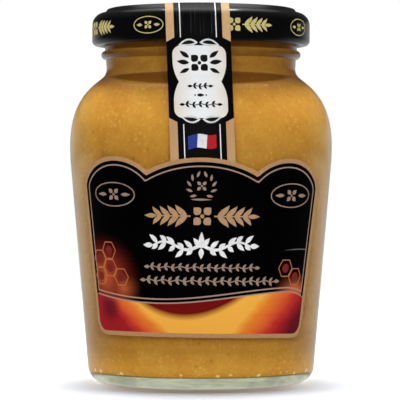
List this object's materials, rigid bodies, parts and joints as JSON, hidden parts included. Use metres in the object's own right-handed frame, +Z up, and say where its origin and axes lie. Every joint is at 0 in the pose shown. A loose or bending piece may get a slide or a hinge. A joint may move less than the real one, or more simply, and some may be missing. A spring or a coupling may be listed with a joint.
{
  "type": "glass jar of mustard",
  "caption": "Shut glass jar of honey mustard with a round shoulder, black metal twist cap, arched paper front label and a paper seal strip over the cap.",
  "frame": {"origin": "middle of the jar's base, on the surface that it stands on", "axes": "+Z up along the jar's axis; the front label faces -Y; +X is to the viewer's right"},
  "size_m": [0.067, 0.068, 0.0958],
  "materials": {
    "glass": "clear flint glass with a faint green tint",
    "mustard": "stands in for smooth honey mustard, pressed wet against the glass",
    "cap_enamel": "gloss black enamel with pale gold print",
    "label_paper": "satin coated paper, printed black with tan and amber",
    "seal_paper": "satin coated paper, tan with a black middle"
  },
  "bodies": {
    "root": {"glass_jar": "glass", "mustard": "mustard", "lid": "cap_enamel", "front_label": "label_paper", "seal_strip": "seal_paper"}
  },
  "joints": []
}
